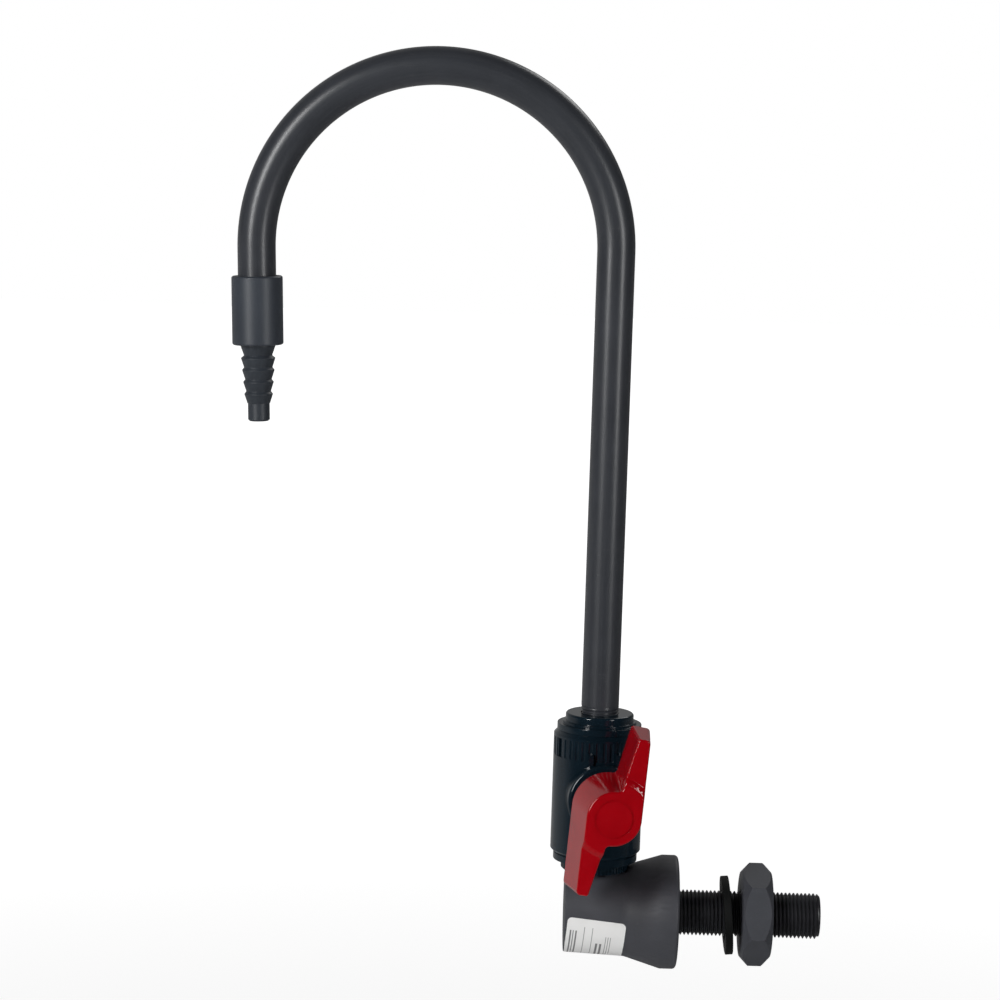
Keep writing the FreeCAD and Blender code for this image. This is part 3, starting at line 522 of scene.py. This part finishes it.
# %% Outer pieces
SKINS = {  # material, body, slot and bevel
    "faucet_body": (body_plastic, "mounting", "body_plastic", 0.0),
    "sealing_washer": (washer_rubber, "washer", "washer_rubber", 0.25 * MM),
    "lock_nut": (nut_plastic, "nut", "body_plastic", 0.9 * MM),
    "valve_body": (valve_plastic, "mounting", "valve_plastic", 0.12 * MM),
    "lower_end_connector": (valve_plastic, "mounting", "valve_plastic", 0.1 * MM),
    "upper_end_connector": (valve_plastic, "mounting", "valve_plastic", 0.25 * MM),
    "handle": (handle_plastic, "handle_and_ball", "handle_plastic", 0.0),
    "outlet_coupling": (sleeve_plastic, "mounting", "pipe_plastic", 0.2 * MM),
    "hose_nozzle": (nozzle_plastic, "mounting", "nozzle_plastic", 0.12 * MM),
}
for node, (material, body, slot, edge_round) in SKINS.items():
    piece = dress(skin_of(node, edge_round), material, body, slot, node)
    print(piece.name, len(piece.data.polygons), "faces")

# %% [markdown]
# ## Pieces that stay as the CAD made them
#
# The ball, its seats, the stem, the rings and the nipple hide inside. They keep their CAD meshes and only get
# their materials.

# %% Inner pieces
INNER = {
    "ball": ball_plastic,
    "stem": ball_plastic,
    "lower_ball_seat": seat_plastic,
    "upper_ball_seat": seat_plastic,
    "lower_connector_o_ring": seal_rubber,
    "upper_connector_o_ring": seal_rubber,
    "inner_stem_o_ring": seal_rubber,
    "outer_stem_o_ring": seal_rubber,
    "valve_nipple": pipe_plastic,
}
for node, material in INNER.items():
    nodes[node].data.materials.clear()
    nodes[node].data.materials.append(material)
print("inner pieces:", len(INNER))

# %% [markdown]
# ## Screw thread
#
# A thread is one profile carried along a helix, so it is a good job for Geometry Nodes. A grid is rolled up:
# its long side winds round the axis and its short side has five points, from root over crest to the next root.
# Neighbouring turns then share their points and are merged. The last stretch may run out to full size, and the
# free end may be bevelled by a cone.

# %% Inputs of the thread tree
THREAD_INPUTS = [
    "Root Radius", "Crest Radius", "Lead", "Turns", "Start", "End", "End Bevel", "Run Out",
]
SEGMENTS = 72
PROFILE_POINTS = 5
FLANK_SLOPE = math.tan(math.radians(30.0))
WELD_DISTANCE = 0.001 * MM


def add_thread_sockets(tree):
    """Named sizes and a material come in, and a mesh goes out."""
    for label in THREAD_INPUTS:
        tree.interface.new_socket(label, in_out="INPUT", socket_type="NodeSocketFloat")
    tree.interface.new_socket("Material", in_out="INPUT", socket_type="NodeSocketMaterial")
    tree.interface.new_socket("Geometry", in_out="OUTPUT", socket_type="NodeSocketGeometry")
    return tree.nodes.new("NodeGroupInput").outputs, tree.nodes.new("NodeGroupOutput").inputs


# %% The flat grid
def add_grid(tree, turns):
    """A strip one unit long and one profile wide, with each point's turns so far and profile number."""
    columns = maths(tree, "ADD", maths(tree, "MULTIPLY", turns, float(SEGMENTS)), 1.0)
    grid = tree.nodes.new("GeometryNodeMeshGrid")
    grid.inputs["Size X"].default_value = 1.0
    grid.inputs["Size Y"].default_value = PROFILE_POINTS - 1.0
    grid.inputs["Vertices Y"].default_value = PROFILE_POINTS
    tree.links.new(columns, grid.inputs["Vertices X"])
    position = tree.nodes.new("GeometryNodeInputPosition").outputs[0]
    place = add_node(tree, "ShaderNodeSeparateXYZ", Vector=position).outputs
    wound = maths(tree, "MULTIPLY", maths(tree, "ADD", place[0], 0.5), turns)
    point = maths(tree, "ROUND", maths(tree, "ADD", place[1], 0.5 * (PROFILE_POINTS - 1)))
    return grid.outputs["Mesh"], wound, point


def pick(tree, point, values):
    """The value that belongs to this profile number. A new Index Switch has two items."""
    switch = tree.nodes.new("GeometryNodeIndexSwitch")
    switch.data_type = "FLOAT"
    for _ in range(len(values) - 2):
        switch.index_switch_items.new()
    tree.links.new(point, switch.inputs["Index"])
    for index, value in enumerate(values):
        feed(tree, switch.inputs[index + 1], value)
    return switch.outputs[0]


# %% Place and radius of each point
def add_profile(tree, given, wound, point):
    """How far along the axis and how far from it each point of the thread lies."""
    root, crest, lead = given["Root Radius"], given["Crest Radius"], given["Lead"]
    depth = maths(tree, "SUBTRACT", crest, root)
    flank = maths(tree, "MULTIPLY", depth, FLANK_SLOPE)
    flats = maths(tree, "SUBTRACT", lead, maths(tree, "MULTIPLY", flank, 2.0))
    flat = maths(tree, "MULTIPLY", flats, 0.5)
    crest_start = maths(tree, "ADD", flat, flank)
    crest_end = maths(tree, "SUBTRACT", lead, flank)
    step = pick(tree, point, [0.0, flat, crest_start, crest_end, lead])
    along = maths(tree, "ADD", maths(tree, "MULTIPLY_ADD", wound, lead, step), given["Start"])
    to_end = maths(tree, "SUBTRACT", given["End"], along)
    filled = maths(tree, "DIVIDE", maths(tree, "MAXIMUM", to_end, 0.0), given["Run Out"])
    least = maths(tree, "SUBTRACT", crest, maths(tree, "MULTIPLY", filled, depth))
    into_bevel = maths(tree, "MAXIMUM", maths(tree, "SUBTRACT", given["End Bevel"], to_end), 0.0)
    most = maths(tree, "SUBTRACT", crest, into_bevel)
    radius = pick(tree, point, [root, root, crest, crest, root])
    return along, maths(tree, "MINIMUM", maths(tree, "MAXIMUM", radius, least), most)


# %% The whole tree
def build_thread_tree():
    """Winds the profile about the X axis. The result is open at both ends."""
    tree = bpy.data.node_groups.new("screw_thread", "GeometryNodeTree")
    given, result = add_thread_sockets(tree)
    grid, wound, point = add_grid(tree, given["Turns"])
    along, radius = add_profile(tree, given, wound, point)
    turn = maths(tree, "MULTIPLY", wound, 2.0 * math.pi)
    across = maths(tree, "MULTIPLY", radius, maths(tree, "COSINE", turn))
    up = maths(tree, "MULTIPLY", radius, maths(tree, "SINE", turn))
    moved = add_node(tree, "ShaderNodeCombineXYZ", X=along, Y=across, Z=up).outputs[0]
    rolled = add_node(tree, "GeometryNodeSetPosition", Geometry=grid, Position=moved).outputs[0]
    merged = add_node(tree, "GeometryNodeMergeByDistance", Geometry=rolled, Distance=WELD_DISTANCE).outputs[0]
    real = add_node(tree, "GeometryNodeRealizeInstances", Geometry=merged).outputs[0]
    paint = add_node(tree, "GeometryNodeSetMaterial", Geometry=real, Material=given["Material"])
    tree.links.new(paint.outputs[0], result["Geometry"])
    return tree


thread_tree = build_thread_tree()
print("thread tree:", len(thread_tree.nodes), "nodes")

# %% [markdown]
# ## From thread to tube
#
# The wound strip is two turns too long at its start and about one at its end, so both ends are cut off square.
# Each cut edge is drawn in to the bore, and the two inner edges are bridged, which closes the tube.

# %% Helpers for threaded tubes
NO_RUN_OUT = 0.001 * MM
TURNS_BEFORE = 2
TURNS_AFTER = 1
AT_THE_CUT = 1e-7
THREAD_SHARP_ANGLE = 40.0


def set_inputs(modifier, values):
    """Give a Geometry Nodes modifier its inputs, each found by its name."""
    for item in modifier.node_group.interface.items_tree:
        if item.item_type == "SOCKET" and item.in_out == "INPUT" and item.name in values:
            modifier[item.identifier] = values[item.name]


def cut_off(form, place, outward):
    """Clear what lies beyond a place on the X axis."""
    everything = form.verts[:] + form.edges[:] + form.faces[:]
    bmesh.ops.bisect_plane(
        form, geom=everything, plane_co=(place, 0, 0), plane_no=(outward, 0, 0), clear_outer=True
    )


def close_end(form, place, bore):
    """Draw the cut edge at a place in to the bore."""
    rim = [
        edge for edge in form.edges
        if edge.is_boundary and abs(edge.verts[0].co.x - place) < AT_THE_CUT
    ]
    made = bmesh.ops.extrude_edge_only(form, edges=rim)["geom"]
    for vertex in (part for part in made if isinstance(part, bmesh.types.BMVert)):
        shrink = bore / math.hypot(vertex.co.y, vertex.co.z)
        vertex.co.y *= shrink
        vertex.co.z *= shrink


# %% Threaded tube
def threaded_tube(name, material, ends, bore, root, crest, lead, end_bevel=0.0, run_out=NO_RUN_OUT):
    """A tube along X with an outer thread, closed by its bore and two flat ends."""
    start, end = ends
    turns = math.ceil((end - start) / lead) + TURNS_BEFORE + TURNS_AFTER
    item = add_object(name, bpy.data.meshes.new(name))
    modifier = item.modifiers.new("thread", "NODES")
    modifier.node_group = thread_tree
    set_inputs(modifier, {
        "Root Radius": root, "Crest Radius": crest, "Lead": lead, "Turns": float(turns),
        "Start": start - TURNS_BEFORE * lead, "End": end, "End Bevel": end_bevel, "Run Out": run_out,
        "Material": material,
    })
    applied(item)
    form = bmesh.new()
    form.from_mesh(item.data)
    cut_off(form, start, -1.0)
    cut_off(form, end, 1.0)
    bmesh.ops.remove_doubles(form, verts=form.verts, dist=JOIN_DISTANCE)
    close_end(form, start, bore)
    close_end(form, end, bore)
    bmesh.ops.bridge_loops(form, edges=[edge for edge in form.edges if edge.is_boundary])
    bmesh.ops.recalc_face_normals(form, faces=form.faces)
    form.to_mesh(item.data)
    form.free()
    return shade(item, THREAD_SHARP_ANGLE)


# %% [markdown]
# ## Shank
#
# The shank's thread is cut with a right-hand lead of 1.8143 mm, 14 turns an inch. The CAD cylinder has the
# thread's crest radius, so this piece stands exactly inside it and takes its place.

# %% Shank
shank_low, shank_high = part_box("shank")
shank = threaded_tube(
    "shank_thread", shank_plastic, (shank_low.x, shank_high.x), mounts["shank_inlet"]["dims"]["r_mm"] * MM,
    root=9.25 * MM, crest=10.35 * MM, lead=1.8143 * MM, end_bevel=1.2 * MM,
)
dress(shank, shank_plastic, "mounting", "shank_plastic", "shank")
print("shank:", len(shank.data.polygons), "faces")

# %% [markdown]
# ## Gooseneck
#
# The pipe is extruded and then bent, so it has one smooth skin with faint streaks along its length. A ring of
# points is carried along riser, bend and outlet leg. Each point also stores where it lies round and along the
# pipe, and the material draws the streaks from that.

# %% Course of the pipe
PIPE_RADIUS = 8.57 * MM
PIPE_BORE = 5.37 * MM
PIPE_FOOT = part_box("gooseneck_tube")[0].z
THREAD_TOP = 95.9 * MM
BEND_HEIGHT = 301.5 * MM
BEND_RADIUS = 80.5 * MM
BEND_ANGLE = math.radians(182.0)
OUTLET_LEG = 24.6 * MM
PIPE_SIDES = 96
BEND_STEPS = 120
RISER_STEPS = 24


def pipe_stations():
    """Middle, outward direction and length so far, at steps along the pipe."""
    stations = []
    for step in range(RISER_STEPS):
        height = THREAD_TOP + (BEND_HEIGHT - THREAD_TOP) * step / RISER_STEPS
        stations.append((Vector((riser_x, 0.0, height)), Vector((1.0, 0.0, 0.0)), height))
    centre = Vector((riser_x - BEND_RADIUS, 0.0, BEND_HEIGHT))
    for step in range(BEND_STEPS + 1):
        angle = BEND_ANGLE * step / BEND_STEPS
        outward = Vector((math.cos(angle), 0.0, math.sin(angle)))
        stations.append((centre + outward * BEND_RADIUS, outward, BEND_HEIGHT + angle * BEND_RADIUS))
    last, outward, length = stations[-1]
    stations.append((last + outlet_down * OUTLET_LEG, outward, length + OUTLET_LEG))
    return stations


print("pipe from thread to outlet:", round((pipe_stations()[-1][2] - THREAD_TOP) / MM, 1), "mm")

# %% Pipe
PIPE_ANGLES = [2.0 * math.pi * step / PIPE_SIDES for step in range(PIPE_SIDES)]
SIDEWAYS = Vector((0.0, 1.0, 0.0))


def add_ring(form, streak, station, radius):
    """One ring of points, each with its place round and along the pipe."""
    middle, outward, length = station
    ring = []
    for angle in PIPE_ANGLES:
        across, up = math.cos(angle), math.sin(angle)
        vertex = form.verts.new(middle + (outward * across + SIDEWAYS * up) * radius)
        vertex[streak] = (across, up, length)
        ring.append(vertex)
    return ring


def join_rings(form, near, far):
    for step in range(PIPE_SIDES):
        after = (step + 1) % PIPE_SIDES
        form.faces.new((near[step], near[after], far[after], far[step]))


def make_pipe():
    form = bmesh.new()
    streak = form.verts.layers.float_vector.new("along_pipe")
    outer, inner = [], []
    for station in pipe_stations():
        outer.append(add_ring(form, streak, station, PIPE_RADIUS))
        inner.append(add_ring(form, streak, station, PIPE_BORE))
    for rings in (outer, inner):
        for near, far in zip(rings, rings[1:]):
            join_rings(form, near, far)
    for end in (0, -1):
        join_rings(form, outer[end], inner[end])
    bmesh.ops.recalc_face_normals(form, faces=form.faces)
    mesh = bpy.data.meshes.new("bent_pipe")
    form.to_mesh(mesh)
    form.free()
    return shade(add_object("bent_pipe", mesh))


pipe = make_pipe()
print("pipe:", len(pipe.data.polygons), "faces")

# %% Streaks along the pipe
STREAK_COLOUR = (0.055, 0.058, 0.064, 1.0)
STREAK_SHARE = 0.55
STREAK_STRETCH = (7.0, 7.0, 18.0)


def extruded_plastic():
    """The pipe's plastic, with faint streaks that follow its length."""
    material = pipe_plastic.copy()
    material.name = "extruded_pipe"
    tree = material.node_tree
    base_colour = tree.nodes["Principled BSDF"].inputs["Base Color"]
    place = add_node(tree, "ShaderNodeAttribute", {"attribute_name": "along_pipe"}).outputs["Vector"]
    mapped = add_node(tree, "ShaderNodeMapping", Vector=place, Scale=STREAK_STRETCH)
    noise = add_node(tree, "ShaderNodeTexNoise", Vector=mapped.outputs[0], Scale=1.0, Detail=4.0)
    amount = clamped(tree, above(tree, noise.outputs[0], threshold=0.42, gain=1.8))
    plain = base_colour.links[0].from_socket
    streaked = colour_mix(tree, maths(tree, "MULTIPLY", amount, STREAK_SHARE), plain, STREAK_COLOUR)
    tree.links.new(streaked, base_colour)
    return material


extruded_pipe = extruded_plastic()
dress(pipe, extruded_pipe, "mounting", "pipe_plastic", "gooseneck_tube")
print("pipe material:", extruded_pipe.name)

# %% [markdown]
# ## Pipe thread at the foot of the riser
#
# The lower end of the pipe is threaded, and a few turns show above the valve's collar, where the thread runs
# out to the pipe's full size. The same tree makes it, and it is then stood upright.

# %% Pipe thread
pipe_thread = threaded_tube(
    "riser_thread", pipe_plastic, (PIPE_FOOT, THREAD_TOP), PIPE_BORE,
    root=7.95 * MM, crest=PIPE_RADIUS, lead=1.411 * MM, run_out=3.0 * MM,
)
upright = Matrix.Translation((riser_x, 0.0, 0.0)) @ Matrix.Rotation(math.radians(-90.0), 4, "Y")
pipe_thread.data.transform(upright)
dress(pipe_thread, pipe_plastic, "mounting", "pipe_plastic")
print("riser thread:", len(pipe_thread.data.polygons), "faces")

# %% [markdown]
# ## Label
#
# A glossy white paper label wraps round the underside of the body, a little askew. It is ruled in plain
# columns. Its points are laid on the body by casting rays at the CAD surface, so it follows the cone wherever
# it goes.

# %% Outline of the label
LABEL_WIDTH = 26.6 * MM
LABEL_LENGTH = 38.0 * MM
LABEL_CORNER = 2.0 * MM
LABEL_ROWS = 48
CORNER_ANGLES = [math.radians(15.0 * step) for step in range(7)]


def label_rows():
    """Distances of the rows from the top edge, closer together round the corners."""
    corner = [LABEL_CORNER * (1.0 - math.cos(angle)) for angle in CORNER_ANGLES]
    span = LABEL_LENGTH - 2.0 * LABEL_CORNER
    middle = [LABEL_CORNER + span * step / LABEL_ROWS for step in range(1, LABEL_ROWS)]
    return corner + middle + [LABEL_LENGTH - distance for distance in reversed(corner)]


def corner_inset(distance):
    """How far the label's side edge moves in at this distance from the top edge."""
    nearest = min(distance, LABEL_LENGTH - distance)
    if nearest >= LABEL_CORNER:
        return 0.0
    return LABEL_CORNER - math.sqrt(LABEL_CORNER**2 - (LABEL_CORNER - nearest) ** 2)


print("label rows:", len(label_rows()))

# %% Where the label lies on the body
LABEL_LEFT = -50.3 * MM
LABEL_TOP_ANGLE = math.radians(-3.9)
LABEL_TILT = math.radians(5.0)
LABEL_SWEEP = 455.0 * MM
LABEL_COLUMNS = 28
END_MARGIN = 0.4 * MM
BODY_RADIUS = 19.9 * MM
GLUE = 0.02 * MM
RAY_START = 100.0 * MM
facets = nodes["faucet_body"].data
body_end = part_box("faucet_body")[0].x
body_surface = BVHTree.FromPolygons(
    [vertex.co for vertex in facets.vertices], [face.vertices for face in facets.polygons]
)


def on_body(across, down):
    """The point of the body's surface that a point of the flat label is laid on.

    The tilt turns the label, and the sweep is the radius of the curve that its sides follow.
    """
    x = LABEL_LEFT + across * math.cos(LABEL_TILT) - down * math.sin(LABEL_TILT)
    x = max(x + down**2 / (2.0 * LABEL_SWEEP), body_end + END_MARGIN)
    lowered = down * math.cos(LABEL_TILT) + across * math.sin(LABEL_TILT)
    angle = LABEL_TOP_ANGLE + lowered / BODY_RADIUS
    outward = Vector((0.0, -math.cos(angle), -math.sin(angle)))
    start = Vector((x, 0.0, 0.0)) + outward * RAY_START
    return body_surface.ray_cast(start, -outward)[0] + outward * GLUE


# %% Label mesh
LABEL_PAPER = 0.12 * MM


def make_label():
    form = bmesh.new()
    uv = form.loops.layers.uv.new("UVMap")
    grid, places = [], {}
    for down in label_rows():
        inset = corner_inset(down)
        row = []
        for column in range(LABEL_COLUMNS + 1):
            across = inset + (LABEL_WIDTH - 2.0 * inset) * column / LABEL_COLUMNS
            vertex = form.verts.new(on_body(across, down))
            places[vertex] = (across / LABEL_WIDTH, 1.0 - down / LABEL_LENGTH)
            row.append(vertex)
        grid.append(row)
    for upper, lower in zip(grid, grid[1:]):
        for step in range(LABEL_COLUMNS):
            face = form.faces.new((upper[step], lower[step], lower[step + 1], upper[step + 1]))
            for loop in face.loops:
                loop[uv].uv = places[loop.vert]
    bmesh.ops.recalc_face_normals(form, faces=form.faces)
    mesh = bpy.data.meshes.new("label")
    form.to_mesh(mesh)
    form.free()
    return thicken(add_object("label", mesh))


def thicken(item):
    """Turn the sheet's faces away from the body, and give it the thickness of paper on that side."""
    middle = item.data.polygons[len(item.data.polygons) // 2]
    if middle.normal.dot(Vector((0.0, middle.center.y, middle.center.z))) < 0:
        item.data.flip_normals()
    paper = item.modifiers.new("paper", "SOLIDIFY")
    paper.thickness = LABEL_PAPER
    paper.offset = 1.0
    return shade(applied(item))


label = make_label()
print("label:", len(label.data.polygons), "faces")

# %% Label paper
LABEL_RULES = [  # left, right, bottom and top, as shares of the label's width and length
    (0.06, 0.085, 0.2, 0.84), (0.11, 0.125, 0.2, 0.84), (0.155, 0.18, 0.35, 0.84),
    (0.3, 0.31, 0.1, 0.9), (0.44, 0.45, 0.1, 0.9), (0.52, 0.555, 0.2, 0.68),
    (0.59, 0.625, 0.3, 0.68), (0.68, 0.69, 0.2, 0.8), (0.72, 0.73, 0.2, 0.8), (0.76, 0.77, 0.45, 0.8),
]
RULE_BLUR = 0.004
RULE_COLOUR = (0.06, 0.06, 0.065, 1.0)
RULE_SHARE = 0.85
AGED_PAPER = (0.77, 0.77, 0.76, 1.0)
FRESH_PAPER = (0.85, 0.85, 0.84, 1.0)


def band(tree, value, low, high):
    """1 where a value lies between two limits, with soft edges."""
    rise = ramp(tree, value, low - RULE_BLUR, low + RULE_BLUR, 0.0, 1.0, "LINEAR")
    fall = ramp(tree, value, high + RULE_BLUR, high - RULE_BLUR, 0.0, 1.0, "LINEAR")
    return maths(tree, "MULTIPLY", rise, fall)


def label_paper():
    """White paper, a little uneven with age, that is ruled in plain columns."""
    material = bpy.data.materials.new("label_paper")
    material.use_nodes = True
    tree = material.node_tree
    shader = tree.nodes["Principled BSDF"]
    shader.inputs["Roughness"].default_value = 0.3
    place = add_node(tree, "ShaderNodeTexCoord").outputs["UV"]
    across, up, _ = add_node(tree, "ShaderNodeSeparateXYZ", Vector=place).outputs
    aged = add_node(tree, "ShaderNodeTexNoise", Vector=place, Scale=3.0, Detail=3.0)
    colour = colour_mix(tree, aged.outputs[0], AGED_PAPER, FRESH_PAPER)
    for left, right, bottom, top in LABEL_RULES:
        rule = maths(tree, "MULTIPLY", band(tree, across, left, right), band(tree, up, bottom, top))
        colour = colour_mix(tree, maths(tree, "MULTIPLY", rule, RULE_SHARE), colour, RULE_COLOUR)
    tree.links.new(colour, shader.inputs["Base Color"])
    return material


dress(label, label_paper(), "mounting", "seat_plastic")
print("label rules:", len(LABEL_RULES))
